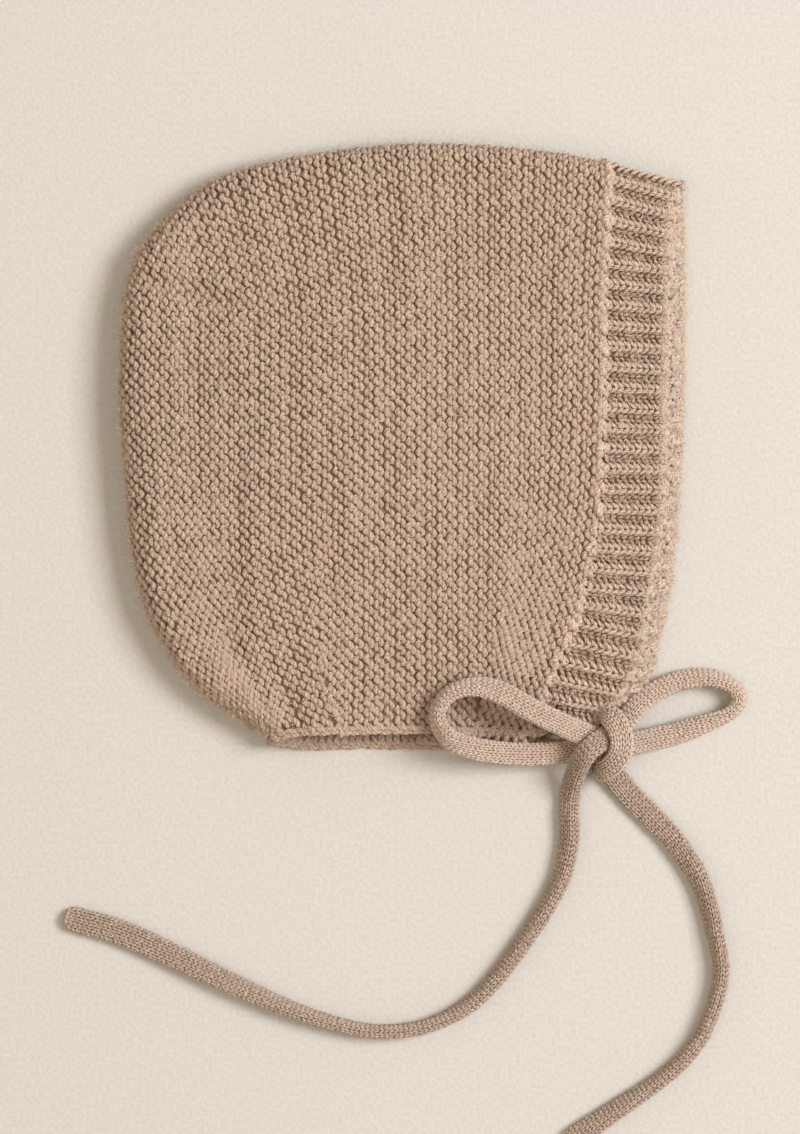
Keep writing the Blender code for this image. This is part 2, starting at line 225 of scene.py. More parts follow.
def run_along(points):
    steps = np.linalg.norm(np.diff(points, axis=0), axis=1)
    return np.concatenate(([0.0], np.cumsum(steps)))


def share_along(points, share):
    run = run_along(points)
    return smooth_at(points, run, share * run[-1])


def at_run(along, run, values):
    """A line's values at lengths along it, from those at its points."""
    return np.stack([np.interp(along, run, values[:, k]) for k in range(3)], -1)


def outline_of_folds():
    """The folds' outermost line, from PAST_NECK beyond the nape to the face."""
    shares = np.linspace(0.0, 1.0, 81)
    short = np.linspace(0.0, 1.0, 21)
    back = share_along(BACK, shares)
    beyond = back[0] + (back[0] - back[2]) / np.linalg.norm(back[0] - back[2]) * PAST_NECK
    return np.concatenate((
        beyond[None, :], back, share_along(CROWN, shares)[1:], share_along(BAND_FOLD, short)[1:],
    ))


CLOSED_EDGE = outline_of_folds()
EDGE_AHEAD = np.gradient(CLOSED_EDGE, axis=0)
EDGE_INWARD = unit(np.column_stack((EDGE_AHEAD[:, 1], -EDGE_AHEAD[:, 0])))


def nearest_on_fold(spots):
    """The folds' nearest point and inward direction, and how far inside it each spot lies."""
    starts = CLOSED_EDGE[:-1]
    runs = CLOSED_EDGE[1:] - starts
    squares = (runs**2).sum(1)
    feet = np.empty_like(spots)
    inward = np.empty_like(spots)
    inside = np.empty(len(spots))
    for first in range(0, len(spots), BATCH):
        batch = slice(first, first + BATCH)
        some = spots[batch]
        off = some[:, None, :] - starts
        share = np.clip((off * runs).sum(2) / squares, 0.0, 1.0)
        gap = off - runs * share[:, :, None]
        far = (gap**2).sum(2)
        best = far.argmin(1)
        row = np.arange(len(some))
        at = share[row, best][:, None]
        feet[batch] = some - gap[row, best]
        inward[batch] = EDGE_INWARD[best] * (1 - at) + EDGE_INWARD[best + 1] * at
        side = runs[best, 0] * off[row, best, 1] - runs[best, 1] * off[row, best, 0]
        inside[batch] = np.sqrt(far[row, best]) * np.where(side > 0, -1.0, 1.0)
    return feet, inward, inside


def rolled(flat_spots):
    """Seen-from-above places and turns of spots that are given on the knit laid out flat."""
    feet, inward, inside = nearest_on_fold(flat_spots)
    turn = np.maximum(0.0, (FOLD_REACH - inside) / FOLD_LENGTH) * math.pi / 2
    plan = feet + inward * (FOLD_REACH * (1 - np.sin(turn)))[:, None]
    return np.where((turn > 0)[:, None], plan, flat_spots), turn


def level_height(plan):
    """The near layer's outer side away from the folds."""
    x, y = plan.T
    dome_x = (x - DOME_AT[0]) / DOME_REACH[0]
    dome_y = (y - DOME_AT[1]) / DOME_REACH[1]
    height = RIM_TOP + DOME_RISE * np.exp(-dome_x * dome_x - dome_y * dome_y)
    for size, pitch, drift in RIPPLES:
        across = x + drift * np.sin(y / DRIFT_LENGTH)
        height = height + size * np.sin(2 * math.pi * across / pitch)
    for dent_x, dent_y, long, wide, degrees, depth in DENTS:
        turn = math.radians(degrees)
        off_x = x - dent_x
        off_y = y - dent_y
        along = (off_x * math.cos(turn) + off_y * math.sin(turn)) / long
        across = (off_y * math.cos(turn) - off_x * math.sin(turn)) / wide
        height = height - depth * np.exp(-along * along - across * across)
    return height


def seam_x(y):
    """Where the band's seam lies at a height up the body."""
    return np.interp(y, BAND_RIBS[::-1, 2], BAND_RIBS[::-1, 1])


def neck_y(x):
    return np.interp(x, *zip(*NECK[::-1]))


def layer_places(plan, turn, near, from_seam, from_neck, ribs_down):
    """A layer's outer side. The far one lies a little past the near one at face and neck."""
    level = np.cos(turn)
    if near:
        return np.column_stack((plan, FOLD_Z + (level_height(plan) - FOLD_Z) * level))
    face = FAR_FACE_SHIFT * (1 - from_seam) ** 3 * np.clip(ribs_down / SHIFT_RIBS, 0.0, 1.0)
    neck = FAR_NECK_SHIFT * (1 - from_neck) ** 3
    return np.column_stack((plan[:, 0] + face * level, plan[:, 1] - neck * level, FOLD_Z * (1 - level)))


def fabric(flat_spots, near):
    """The garter body's outer side, for spots on the knit laid out flat."""
    plan, turn = rolled(flat_spots)
    x, y = plan.T
    from_seam = np.clip((seam_x(y) - x) / BODY_WIDTH, 0.0, 1.0)
    from_neck = np.clip((y - neck_y(x)) / BODY_HEIGHT, 0.0, 1.0)
    ribs_down = (CROWN[-1][1] - y) / RIB_PITCH
    return layer_places(plan, turn, near, from_seam, from_neck, ribs_down)


def raised(surface, spots, height, flip, step=0.05):
    """Places above a surface, and the surface's outward directions there."""
    place = surface(spots)
    east = surface(spots + (step, 0.0)) - surface(spots - (step, 0.0))
    north = surface(spots + (0.0, step)) - surface(spots - (0.0, step))
    normal = unit(np.cross(east, north) * (-1.0 if flip else 1.0))
    return place + normal * height[:, None], normal


# Yarn

YARN_LENGTH = 40.0  # each strand shows another stretch of a yarn this long
FLOOR_GAP = 0.05


def finished(name, mesh, material, smooth=True):
    """A mesh as a piece of the scene."""
    if smooth:
        mesh.shade_smooth()
    mesh.materials.append(material)
    return new_object(name, mesh)


def mesh_piece(name, places, faces, material):
    mesh = bpy.data.meshes.new(name)
    mesh.from_pydata((places * MM).tolist(), [], faces)
    return finished(name, mesh, material)


def bmesh_piece(name, bm, material, smooth=True):
    mesh = bpy.data.meshes.new(name)
    bm.to_mesh(mesh)
    bm.free()
    return finished(name, mesh, material, smooth)


def uneven(count, spread, middle=0.0):
    """A random value for each strand, round a middle one."""
    return rng.normal(middle, spread, (count, 1))


def tapered(wide, thinning, reach, count, spread):
    """Half sizes of uneven strands that thin towards their two ends."""
    return wide * (1 - thinning * np.abs(reach) ** 3) * uneven(count, spread, 1.0)


def joined(parts):
    """Several sets of strands' values as one set."""
    return [np.concatenate(values) for values in zip(*parts)]


def yarn_piece(name, centres, normals, wide, flatness, sides, material):
    """Many short strands in one mesh.

    centres and normals are (strand, ring, 3). wide is the half size of each ring along the surface,
    and flatness times wide is the one along its normal.
    """
    count, rings = centres.shape[:2]
    thick = wide * flatness
    centres[..., 2] = np.maximum(centres[..., 2], np.maximum(wide, thick))
    ahead = np.empty_like(centres)
    ahead[:, 1:-1] = centres[:, 2:] - centres[:, :-2]
    ahead[:, 0] = centres[:, 1] - centres[:, 0]
    ahead[:, -1] = centres[:, -1] - centres[:, -2]
    ahead = unit(ahead)
    side = unit(np.cross(ahead, normals))
    up = np.cross(side, ahead)
    angle = np.arange(sides) / sides * 2 * math.pi
    places = (
        centres[:, :, None, :]
        + side[:, :, None, :] * (np.cos(angle)[:, None] * wide[..., None, None])
        + up[:, :, None, :] * (np.sin(angle)[:, None] * thick[..., None, None])
    ).reshape(-1, 3)

    base = (np.arange(count) * rings * sides)[:, None]
    ring = np.arange(rings - 1)[:, None] * sides
    turn = np.arange(sides)
    following = (turn + 1) % sides
    quads = np.stack((ring + sides + turn, ring + sides + following, ring + following, ring + turn), -1)
    quads = (base[:, :, None] + quads.reshape(1, -1, 4)).reshape(-1, 4)
    first = base + turn
    last = base + (rings - 1) * sides + turn[::-1]
    thing = mesh_piece(name, places, quads.tolist() + first.tolist() + last.tolist(), material)

    run = np.linalg.norm(np.diff(centres, axis=1), axis=2)
    run = np.concatenate((np.zeros((count, 1)), np.cumsum(run, axis=1)), axis=1)
    along = np.repeat((run + rng.uniform(0.0, YARN_LENGTH, (count, 1)))[:, :, None], sides, axis=2)
    around = np.broadcast_to(angle / (2 * math.pi), (count, rings, sides))
    tone = np.repeat(rng.uniform(0.0, 1.0, count), rings * sides)
    for label, values in (("along", along), ("round", around), ("tone", tone)):
        layer = thing.data.attributes.new(label, "FLOAT", "POINT")
        layer.data.foreach_set("value", np.ascontiguousarray(values, dtype=np.float32).ravel())
    return thing


def fibre_piece(name, starts, normals, reach, rise=0.45):
    """Fine loose fibres that stand off a surface, each a bent, pointed ribbon."""
    count = len(starts)
    aside = unit(np.cross(normals, rng.normal(0.0, 1.0, (count, 3))))
    across = np.cross(normals, aside)
    long = reach * rng.uniform(0.5, 1.3, (count, 1))
    lift = long * rng.uniform(0.05, 1.0, (count, 1)) * np.reshape(rise, (-1, 1))
    bend = long * uneven(count, 0.25)
    half = across * rng.uniform(0.035, 0.065, (count, 1))
    middle = starts + aside * long * 0.5 + normals * lift + across * bend * 0.5
    tip_lift = normals * lift * rng.uniform(0.4, 1.5, (count, 1))
    tip = starts + aside * long + tip_lift - across * bend * 0.3
    places = np.stack((starts - half, starts + half, middle - half, middle + half, tip), 1)
    places = places.reshape(-1, 3)
    places[:, 2] = np.maximum(places[:, 2], FLOOR_GAP)
    first = np.arange(count)[:, None] * 5
    faces = (first + (0, 1, 3, 2)).tolist() + (first + (2, 3, 4)).tolist()
    return mesh_piece(name, places, faces, FIBRE_WOOL)


# Wool

PLIES = 3.0
PLY_TWIST = 0.85  # half turns of the plies for each millimetre of yarn


class Board:
    """A node tree, with the few kinds of node that the materials are made of."""

    def __init__(self, tree):
        self.nodes = tree.nodes
        self.links = tree.links

    def feed(self, inputs, values):
        """Sets or links inputs by their names."""
        for name, value in values.items():
            if isinstance(value, bpy.types.NodeSocket):
                self.links.new(value, inputs[name])
            else:
                inputs[name].default_value = value

    def node(self, kind, values):
        made = self.nodes.new(kind)
        self.feed(made.inputs, values)
        return made.outputs

    def group(self, tree, values):
        made = self.nodes.new("ShaderNodeGroup")
        made.node_tree = tree
        self.feed(made.inputs, values)
        return made.outputs

    def math(self, operation, *values):
        made = self.nodes.new("ShaderNodeMath")
        made.operation = operation
        self.feed(made.inputs, dict(enumerate(values)))
        return made.outputs[0]

    def mix(self, factor, a, b):
        made = self.nodes.new("ShaderNodeMix")
        made.data_type = "RGBA"
        self.feed(made.inputs, {"Factor": factor, "A": a, "B": b})
        return made.outputs["Result"]

    def attribute(self, name):
        made = self.nodes.new("ShaderNodeAttribute")
        made.attribute_name = name
        return made.outputs["Fac"]

    def place(self):
        return self.nodes.new("ShaderNodeTexCoord").outputs["Object"]

    def noise(self, scale, detail, place):
        values = {"Scale": scale, "Detail": detail, "Vector": place}
        return self.node("ShaderNodeTexNoise", values)["Fac"]

    def spread(self, value, low, high):
        values = {"From Min": low, "From Max": high, "Value": value}
        return self.node("ShaderNodeMapRange", values)["Result"]

    def relief(self, strength, distance, height):
        values = {"Strength": strength, "Distance": distance * MM, "Height": height}
        return self.node("ShaderNodeBump", values)["Normal"]


def new_group(name, given, made):
    """A node group, its board, and the ends of its named inputs and outputs."""
    group = bpy.data.node_groups.new(name, "ShaderNodeTree")
    for way, sockets in (("INPUT", given), ("OUTPUT", made)):
        for label, kind in sockets.items():
            group.interface.new_socket(name=label, in_out=way, socket_type="NodeSocket" + kind)
    nodes = group.nodes
    return group, Board(group), nodes.new("NodeGroupInput").outputs, nodes.new("NodeGroupOutput").inputs


def plied_yarn():
    """A plied yarn's relief, the grooves between its plies, whose depth paints shade into the colour, and
    the streaks of its fibres.
    """
    group, board, given, out = new_group(
        "plied yarn", {"Along": "Float", "Round": "Float", "Tone": "Float", "Place": "Vector"},
        {"Height": "Float", "Groove Shade": "Float", "Streak": "Float"},
    )
    twist = board.math("MULTIPLY", given["Along"], PLY_TWIST)
    turns = board.math("MULTIPLY_ADD", given["Round"], PLIES, twist)
    wave = board.math("SINE", board.math("MULTIPLY", turns, math.pi))
    ply = board.math("ABSOLUTE", wave)

    slow = board.math("MULTIPLY", given["Along"], 0.9)
    quick = board.math("MULTIPLY", turns, 2.6)
    apart = board.math("MULTIPLY", given["Tone"], 71.0)
    fibres = board.node("ShaderNodeCombineXYZ", {"X": slow, "Y": quick, "Z": apart})["Vector"]
    streak = board.noise(1.0, 4.0, fibres)
    tuft = board.noise(2600.0, 4.0, given["Place"])
    rough = board.math("MULTIPLY_ADD", streak, 2.2, ply)
    high = board.math("MULTIPLY_ADD", tuft, 0.5, rough)
    groove_shade = board.math("SUBTRACT", 1.0, ply)
    board.feed(out, {"Height": high, "Groove Shade": groove_shade, "Streak": streak})
    return group


def wool_tone():
    """The wool's colour: it drifts from place to place and strand to strand, with painted shade in the
    grooves between the plies.
    """
    group, board, given, out = new_group(
        "wool tone", {
            "Tone": "Float", "Groove Shade": "Float", "Streak": "Float", "Place": "Vector",
            "Dark": "Color", "Light": "Color", "Blush": "Color", "Straw": "Color",
        }, {"Colour": "Color"},
    )
    patch = board.spread(board.noise(70.0, 3.0, given["Place"]), 0.35, 0.65)
    drift = board.spread(board.noise(260.0, 2.0, given["Place"]), 0.35, 0.65)
    blush = board.math("MULTIPLY", patch, given["Tone"])
    straw = board.math("MULTIPLY", drift, board.math("SUBTRACT", 1.0, given["Tone"]))
    pinked = board.mix(blush, given["Light"], given["Blush"])
    tinted = board.mix(straw, pinked, given["Straw"])
    fleck = board.spread(board.noise(1500.0, 2.0, given["Place"]), 0.30, 0.75)
    lined = board.spread(given["Streak"], 0.35, 0.75)
    # The grooves get painted shade; the flecks and fibre streaks are the wool's own tone
    deep = board.math("MULTIPLY_ADD", given["Groove Shade"], 0.38, -0.05)
    deep = board.math("MULTIPLY_ADD", fleck, 0.38, deep)
    deep = board.math("MULTIPLY_ADD", lined, 0.45, deep)
    board.feed(out, {"Colour": board.mix(deep, tinted, given["Dark"])})
    return group


PLIED_YARN = plied_yarn()
WOOL_TONE = wool_tone()


def new_material(name, finish):
    """A material, its board and its shader's inputs, with the finish set on them."""
    material = bpy.data.materials.new(name)
    material.use_nodes = True
    board = Board(material.node_tree)
    shader = board.nodes["Principled BSDF"].inputs
    board.feed(shader, finish)
    return material, board, shader


def wool(name, dark, light, blush, straw, bump=0.8):
    """Soft matt wool yarn, for strands that carry their own length, round and tone."""
    material, board, shader = new_material(name, {
        "Roughness": 0.95, "Specular IOR Level": 0.1,
        "Sheen Weight": 0.3, "Sheen Roughness": 0.7, "Sheen Tint": (1.0, 0.92, 0.84, 1.0),
    })
    place = board.place()
    strand = board.attribute("tone")
    yarn = board.group(PLIED_YARN, {
        "Along": board.attribute("along"), "Round": board.attribute("round"),
        "Tone": strand, "Place": place,
    })
    tone = board.group(WOOL_TONE, {
        "Tone": strand, "Groove Shade": yarn["Groove Shade"], "Streak": yarn["Streak"], "Place": place,
        "Dark": (*dark, 1.0), "Light": (*light, 1.0), "Blush": (*blush, 1.0), "Straw": (*straw, 1.0),
    })
    relief = board.relief(bump, 0.42, yarn["Height"])
    board.feed(shader, {"Base Color": tone["Colour"], "Normal": relief})
    return material


def mottled(name, dark, light, roughness, specular, scale, detail, bump, deep):
    """A matt surface with a fine mottle in its colour and its relief."""
    finish = {"Roughness": roughness, "Specular IOR Level": specular}
    material, board, shader = new_material(name, finish)
    fleck = board.noise(scale, detail, board.place())
    shade = board.mix(fleck, (*dark, 1.0), (*light, 1.0))
    board.feed(shader, {"Base Color": shade, "Normal": board.relief(bump, deep, fleck)})
    return material


def under_wool(name, dark, light):
    """The yarn deep between the stitches, darkened as painted shade where little light reaches, and the
    loose fibres.
    """
    return mottled(name, dark, light, 1.0, 0.05, 1400.0, 4.0, 0.8, 0.4)


GARTER_WOOL = wool(
    "garter_wool", (0.42, 0.285, 0.21), (0.76, 0.60, 0.49), (0.76, 0.56, 0.48), (0.76, 0.62, 0.47),
)
RIB_WOOL = wool(
    "rib_wool", (0.52, 0.36, 0.27), (0.93, 0.74, 0.615), (0.93, 0.69, 0.60), (0.94, 0.76, 0.585),
)
# The valleys' wool is a darker copy of the ribs' wool: painted shade for the valleys between the ribs
VALLEY_SHADE_WOOL = wool(
    "valley_shade_wool", (0.35, 0.23, 0.165), (0.72, 0.545, 0.43), (0.72, 0.515, 0.42), (0.74, 0.57, 0.41),
)
EDGE_WOOL = wool(
    "edge_wool", (0.62, 0.46, 0.36), (0.94, 0.78, 0.67), (0.94, 0.73, 0.64), (0.94, 0.79, 0.64), 1.0,
)
CORD_WOOL = wool(
    "cord_wool", (0.57, 0.43, 0.345), (0.965, 0.80, 0.70), (0.965, 0.75, 0.67), (0.965, 0.81, 0.67), 0.6,
)
# The tails' wool is a darker copy of the loops' cord wool: painted shade for the tails that lie low on
# the paper
SHADED_TAIL_WOOL = wool(
    "shaded_tail_wool", (0.45, 0.325, 0.25), (0.91, 0.735, 0.625), (0.91, 0.69, 0.60), (0.91, 0.74, 0.60), 0.8,
)
FIBRE_WOOL = under_wool("fibre_wool", (0.66, 0.50, 0.39), (0.94, 0.80, 0.68))
# Painted shade: these dark wools colour the sheets, cores and knot core that show between the stitches
DEEP_SHADE_WOOL = under_wool("deep_shade_wool", (0.20, 0.115, 0.07), (0.38, 0.25, 0.17))
BAND_DEEP_SHADE_WOOL = under_wool("band_deep_shade_wool", (0.24, 0.145, 0.095), (0.40, 0.275, 0.195))
CORD_DEEP_SHADE_WOOL = under_wool("cord_deep_shade_wool", (0.20, 0.125, 0.085), (0.34, 0.235, 0.175))


# Paper

PAPER = mottled("paper", (0.595, 0.580, 0.556), (0.79, 0.775, 0.752), 0.9, 0.2, 900.0, 6.0, 0.5, 0.35)
sheet = bmesh.new()
bmesh.ops.create_grid(sheet, x_segments=1, y_segments=1, size=1.5)
bmesh_piece("paper", sheet, PAPER, False)


# Cords

CORD_WIDE = 3.25  # half the flat cord's width
CORD_THICK = 1.75
SQUARENESS = 2.7  # of the cord's section; 2 is an ellipse
CORD_STEP = 1.37  # from one stitch to the next
CORD_LEGS = 20  # columns of half stitches round the cord
CORD_CORE = 0.84  # the core's size against the whole section
BLUNT = 3.2  # how far from a tail's tip its rounding starts
CORD_LOWER = 0.6  # how far the flat cord lies below the middle of its round solid
CORE_SIDES = 16
FIBRES_A_MM = 9


def keep(pieces, node):
    """Pieces that ride on the one body and stand for one of its nodes."""
    for piece in pieces:
        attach(piece, "root")
        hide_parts(node)


def section(turn):
    """Points on the flat cord's rounded section, turn in whole turns."""
    angle = turn * 2 * math.pi
    parts = ((np.cos(angle), CORD_WIDE), (np.sin(angle), CORD_THICK))
    return [np.sign(part) * np.abs(part) ** (2 / SQUARENESS) * half for part, half in parts]


def section_lean(out, half):
    """One part of the section's outward direction."""
    return np.sign(out) * np.abs(out / half) ** (SQUARENESS - 1) / half


def even_turns(share):
    """Turns that lie evenly round the flat section, not crowded at its two edges."""
    turns = np.linspace(0.0, 1.0, 1441)
    run = run_along(np.column_stack(section(turns)))
    return np.interp(share % 1.0, run / run[-1], turns)


def turned(directions, axes, degrees):
    """Directions turned round their axes."""
    angle = np.radians(degrees)[:, None]
    return (
        directions * np.cos(angle)
        + np.cross(axes, directions) * np.sin(angle)
        + axes * (directions * axes).sum(1)[:, None] * (1 - np.cos(angle))
    )


class Cord:
    """A flat knitted cord along a route, with its stitches' places by length and turn."""

    def __init__(self, route, rolls, blunt=False, broad=((0.0, 1.0), (1.0, 1.0))):
        """rolls and broad pair shares of the length with the flat side's turn and with its width."""
        self.blunt = blunt
        self.broad = np.array(broad).T
        run = run_along(route)
        self.middle = smooth_at(route, run, np.linspace(0.0, run[-1], 900))
        self.run = run_along(self.middle)
        self.length = self.run[-1]
        ahead = unit(np.gradient(self.middle, axis=0))
        side = unit(np.cross(ahead, (0.0, 0.0, 1.0)))
        roll = np.interp(self.run / self.length, *np.array(rolls).T)
        self.side = turned(side, ahead, roll)
        self.up = turned(np.cross(side, ahead), ahead, roll)
        reach = np.abs(self.side[:, 2]) * CORD_WIDE + np.abs(self.up[:, 2]) * CORD_THICK + FLOOR_GAP
        self.middle[:, 2] = np.maximum(self.middle[:, 2] - CORD_LOWER, reach)

    def at(self, along):
        """The cord's middle and the directions of its flat and its thin side."""
        return [at_run(along, self.run, values) for values in (self.middle, self.side, self.up)]

    def place(self, along, turn, size):
        """Places on the cord's section, turn in whole turns, size against the whole section."""
        middle, side, up = self.at(along)
        out_side, out_up = section(turn)
        narrow = 1.0
        if self.blunt:
            near_end = np.clip((along - self.length + BLUNT) / BLUNT, 0.0, 0.97)
            narrow = np.sqrt(1 - near_end**2)
        lean_side = section_lean(out_side, CORD_WIDE)[..., None]
        lean_up = section_lean(out_up, CORD_THICK)[..., None]
        normal = unit(side * lean_side + up * lean_up)
        out_side = out_side * size * narrow * np.interp(along / self.length, *self.broad)
        out_up = out_up * size * (0.5 + 0.5 * narrow)
        return middle + side * out_side[..., None] + up * out_up[..., None], normal


def cord_core(name, cord, material):
    """The cord's closed inner tube, which shows between the stitches; its dark wool is painted shade."""
    stations = np.linspace(0.0, cord.length - BLUNT, max(24, int(cord.length / 2.0)))
    end = cord.length - BLUNT + BLUNT * np.sin(np.linspace(0.25, 1.5, 6))
    stations = np.concatenate((stations, end))
    turns = even_turns(np.arange(CORE_SIDES) / CORE_SIDES)
    places = cord.place(*np.meshgrid(stations, turns, indexing="ij"), CORD_CORE)[0]
    top = (len(stations) - 1) * CORE_SIDES
    faces = []
    for ring in range(0, top, CORE_SIDES):
        for k in range(CORE_SIDES):
            a = ring + k
            b = ring + (k + 1) % CORE_SIDES
            faces.append((a, b, b + CORE_SIDES, a + CORE_SIDES))
    faces.append(tuple(range(CORE_SIDES - 1, -1, -1)))
    faces.append(tuple(range(top, top + CORE_SIDES)))
    return mesh_piece(name, places.reshape(-1, 3), faces, material)


def cord_stitches(name, cord, material):
    """Columns of small V's all round the cord, each of two slanting half stitches."""
    rows = int(cord.length / CORD_STEP)
    row, column = np.indices((rows, CORD_LEGS)).reshape(2, -1, 1)
    row = row + 0.5
    lean = np.where(column % 2 == 0, 1.0, -1.0)
    count = len(row)
    reach = np.array((-1.0, -0.4, 0.35, 1.0))
    along = row * CORD_STEP + reach * 0.78 + uneven(count, 0.05)
    share = column + 0.5 - lean * reach * 0.27 + uneven(count, 0.03)
    from_middle = np.where(lean > 0, column + 1 - share, share - column)
    size = 0.93 - 0.07 * np.abs(reach) ** 3 - 0.10 * from_middle**2 + uneven(count, 0.010)
    along = np.clip(along, 0.1, cord.length - 0.1)
    centres, normals = cord.place(along, even_turns(share / CORD_LEGS), size)
    wide = np.array((0.22, 0.35, 0.36, 0.22)) * uneven(count, 0.07, 1.0)
    return yarn_piece(name, centres, normals, wide, 1.1, 4, material)


def cord_fibres(name, cord):
    count = int(cord.length * FIBRES_A_MM)
    along = rng.uniform(0.5, cord.length - 0.5, count)
    starts, normals = cord.place(along, rng.uniform(0.0, 1.0, count), 0.98)
    return fibre_piece(name, starts, normals, 1.2)


LEFT_TAIL_CORD = Cord(
    LEFT_TAIL, (
        (0.0, 24.0), (0.05, 34.0), (0.12, 42.0), (0.2, 50.0), (0.27, 60.0), (0.36, 66.0), (0.45, 74.0),
        (0.5, 86.0), (0.58, 88.0), (0.64, 80.0), (0.7, 64.0), (0.78, 40.0), (0.87, 14.0), (1.0, 0.0),
    ), True, ((0.0, 1.0), (0.72, 1.0), (0.86, 1.06), (0.95, 1.10), (1.0, 1.10)),
)
RIGHT_TAIL_CORD = Cord(
    RIGHT_TAIL, (
        (0.0, 0.0), (0.13, 6.0), (0.24, 28.0), (0.36, 50.0), (0.47, 68.0), (0.56, 76.0), (0.67, 80.0),
        (0.76, 75.0), (0.85, 62.0), (0.93, 42.0), (1.0, 24.0),
    ), True, ((0.0, 1.08), (0.2, 1.0), (1.0, 1.0)),
)
LEFT_LOOP_CORD = Cord(
    LEFT_LOOP, (
        (0.0, 0.0), (0.2, 4.0), (0.32, 22.0), (0.43, 68.0), (0.52, 70.0), (0.62, 34.0),
        (0.74, 4.0), (1.0, 0.0),
    ),
)
RIGHT_LOOP_CORD = Cord(
    RIGHT_LOOP, (
        (0.0, -30.0), (0.15, -38.0), (0.30, -50.0), (0.45, -74.0), (0.55, -78.0), (0.64, -44.0),
        (0.75, -10.0), (1.0, 0.0),
    ),
)

for node, cord, far_end, yarn in (
    ("tie_tail_left", LEFT_TAIL_CORD, "bare", SHADED_TAIL_WOOL),
    ("tie_tail_right", RIGHT_TAIL_CORD, "bare", SHADED_TAIL_WOOL),
    ("bow_loop_left", LEFT_LOOP_CORD, "object", CORD_WOOL),
    ("bow_loop_right", RIGHT_LOOP_CORD, "object", CORD_WOOL),
):
    core = cord_core(node + "_core", cord, CORD_DEEP_SHADE_WOOL)
    stitches = cord_stitches(node + "_stitches", cord, yarn)
    fibres = cord_fibres(node + "_fibres", cord)
    keep((core, stitches, fibres), node)
    points = cord.at(np.linspace(0.0, cord.length, 60))[0] * MM


# Garter stitch of the head part

RIDGE_PITCH = 2.9
STITCH_PITCH = 2.97
RIDGES = 48
STITCHES = 62  # in a ridge
UNROLLED = FOLD_LENGTH - FOLD_REACH  # how much wider the knit is laid out flat, past each fold
SEAM_X = 56.3  # the seam's middle place
LEAN_FROM = 33.3  # the ridges lean above this height
LEAN_REACH = 46.0
# A ridge's place across the body, then how far it leans at the crown
TOP_LEAN = (
    (-82.0, -27.0), (-56.3, -17.5), (-42.3, -12.0), (-14.3, -3.9), (13.7, -1.1), (41.7, 1.7), (58.0, 2.2),
)
BACK_TURN = -60.0
DART_TOP = -42.3
LEFT_DART = (-25.5, -18.5)  # a dart line's x at its top and at the neck
RIGHT_DART = (29.1, 20.7)
NECK_LINE = -79.0  # the neck's height, where the dart lines end
SEWN_IN = 0.6  # how far stitches overlap at a dart line and stay off the seam
LOW_TURN = 1.1  # the fibres that are turned down further than this show against the floor
LAST_TURN = 2.2  # no fibre starts past this
GARTER_FIBRES = 62000  # before those off the layer, and most of the level ones, are left out
# A place across the body, then the height of the rows' upper end there
ROW_LINE = (
    (-82.0, 79.0), (-42.3, 79.5), (-10.4, 84.8), (5.3, 86.0), (30.5, 84.8), (50.0, 82.2), (60.0, 79.5),
)


def smooth_step(value):
    value = np.clip(value, 0.0, 1.0)
    return value * value * (3 - 2 * value)


def seam_drift(y):
    """How far the seam has moved back from its middle place."""
    return SEAM_X - seam_x(y)


def left_lean(y):
    """How far forward the ridges of the left sector have moved, lower down."""
    down = np.maximum(0.0, -23.0 - y)
    far_down = down - 20.0
    return np.where(far_down < 0.0, 0.0062 * down**2, 2.5 + 0.25 * far_down + 0.0035 * far_down**2)


def ridge_spot(u, v, sector):
    """Where stitch v of ridge u lies on the knit laid out flat."""
    middle = SEAM_X - RIDGE_PITCH * u
    y = np.interp(middle, *zip(*ROW_LINE)) + UNROLLED - v * STITCH_PITCH
    rise = np.maximum(0.0, y - LEAN_FROM) / LEAN_REACH
    top_lean = np.interp(middle, *zip(*TOP_LEAN)) * rise**1.6
    x = middle + top_lean

    # Between crown and neck the front ridges follow the seam, and the back ones lean forward
    above = np.maximum(y, DART_TOP)
    seamward = smooth_step((middle - 18.0) / 38.0)
    backward = smooth_step((-13.0 - middle) / 14.0)
    x = x - seam_drift(above) * seamward * (y < LEAN_FROM) + left_lean(above) * backward
    right = seam_drift(y) - seam_drift(above)
    left = left_lean(y) - left_lean(above)
    x = x + np.where(sector == 2, -right, np.where(sector == 0, left, 0.0))

    # The last ridges run along the back's fold, which turns in towards the nape below BACK_TURN
    hugging = smooth_step((u - 34.0) / 12.0)
    across, up = zip(*BACK)
    fold = np.interp(np.clip(y, BACK_TURN, 44.0), up, across) - UNROLLED
    fold = fold + np.maximum(0.0, BACK_TURN - y) * 0.6
    beside = fold + (RIDGES - u) * RIDGE_PITCH + top_lean
    x = x + hugging * (beside - x)
    y = y - 0.10 * np.maximum(0.0, -26.0 - middle) * smooth_step((-24.0 - y) / 30.0)
    return np.stack((x, y), -1)


def garter_cells():
    """Ridge, stitch and sector of every stitch that lies on a layer."""
    u, v = np.indices((RIDGES, STITCHES)).reshape(2, -1) + 0.5
    kept = []
    for sector in (0, 1, 2):
        spots = ridge_spot(u, v, sector)
        plan, turn = rolled(spots)
        x, y = plan.T
        above = y > DART_TOP
        down = (DART_TOP - y) / (DART_TOP - NECK_LINE)
        left, right = (top + (low - top) * down for top, low in (LEFT_DART, RIGHT_DART))
        if sector == 0:
            mine = ~above & (x < left + SEWN_IN)
        elif sector == 2:
            mine = ~above & (x > right - SEWN_IN)
        else:
            mine = above | ((x >= left) & (x <= right))
        mine &= (turn < math.pi / 2 * 1.04) & (y > neck_y(x) + 0.1) & (x < seam_x(y) - SEWN_IN)
        kept.append(np.column_stack((u, v, np.full(u.size, sector)))[mine])
    return np.concatenate(kept)


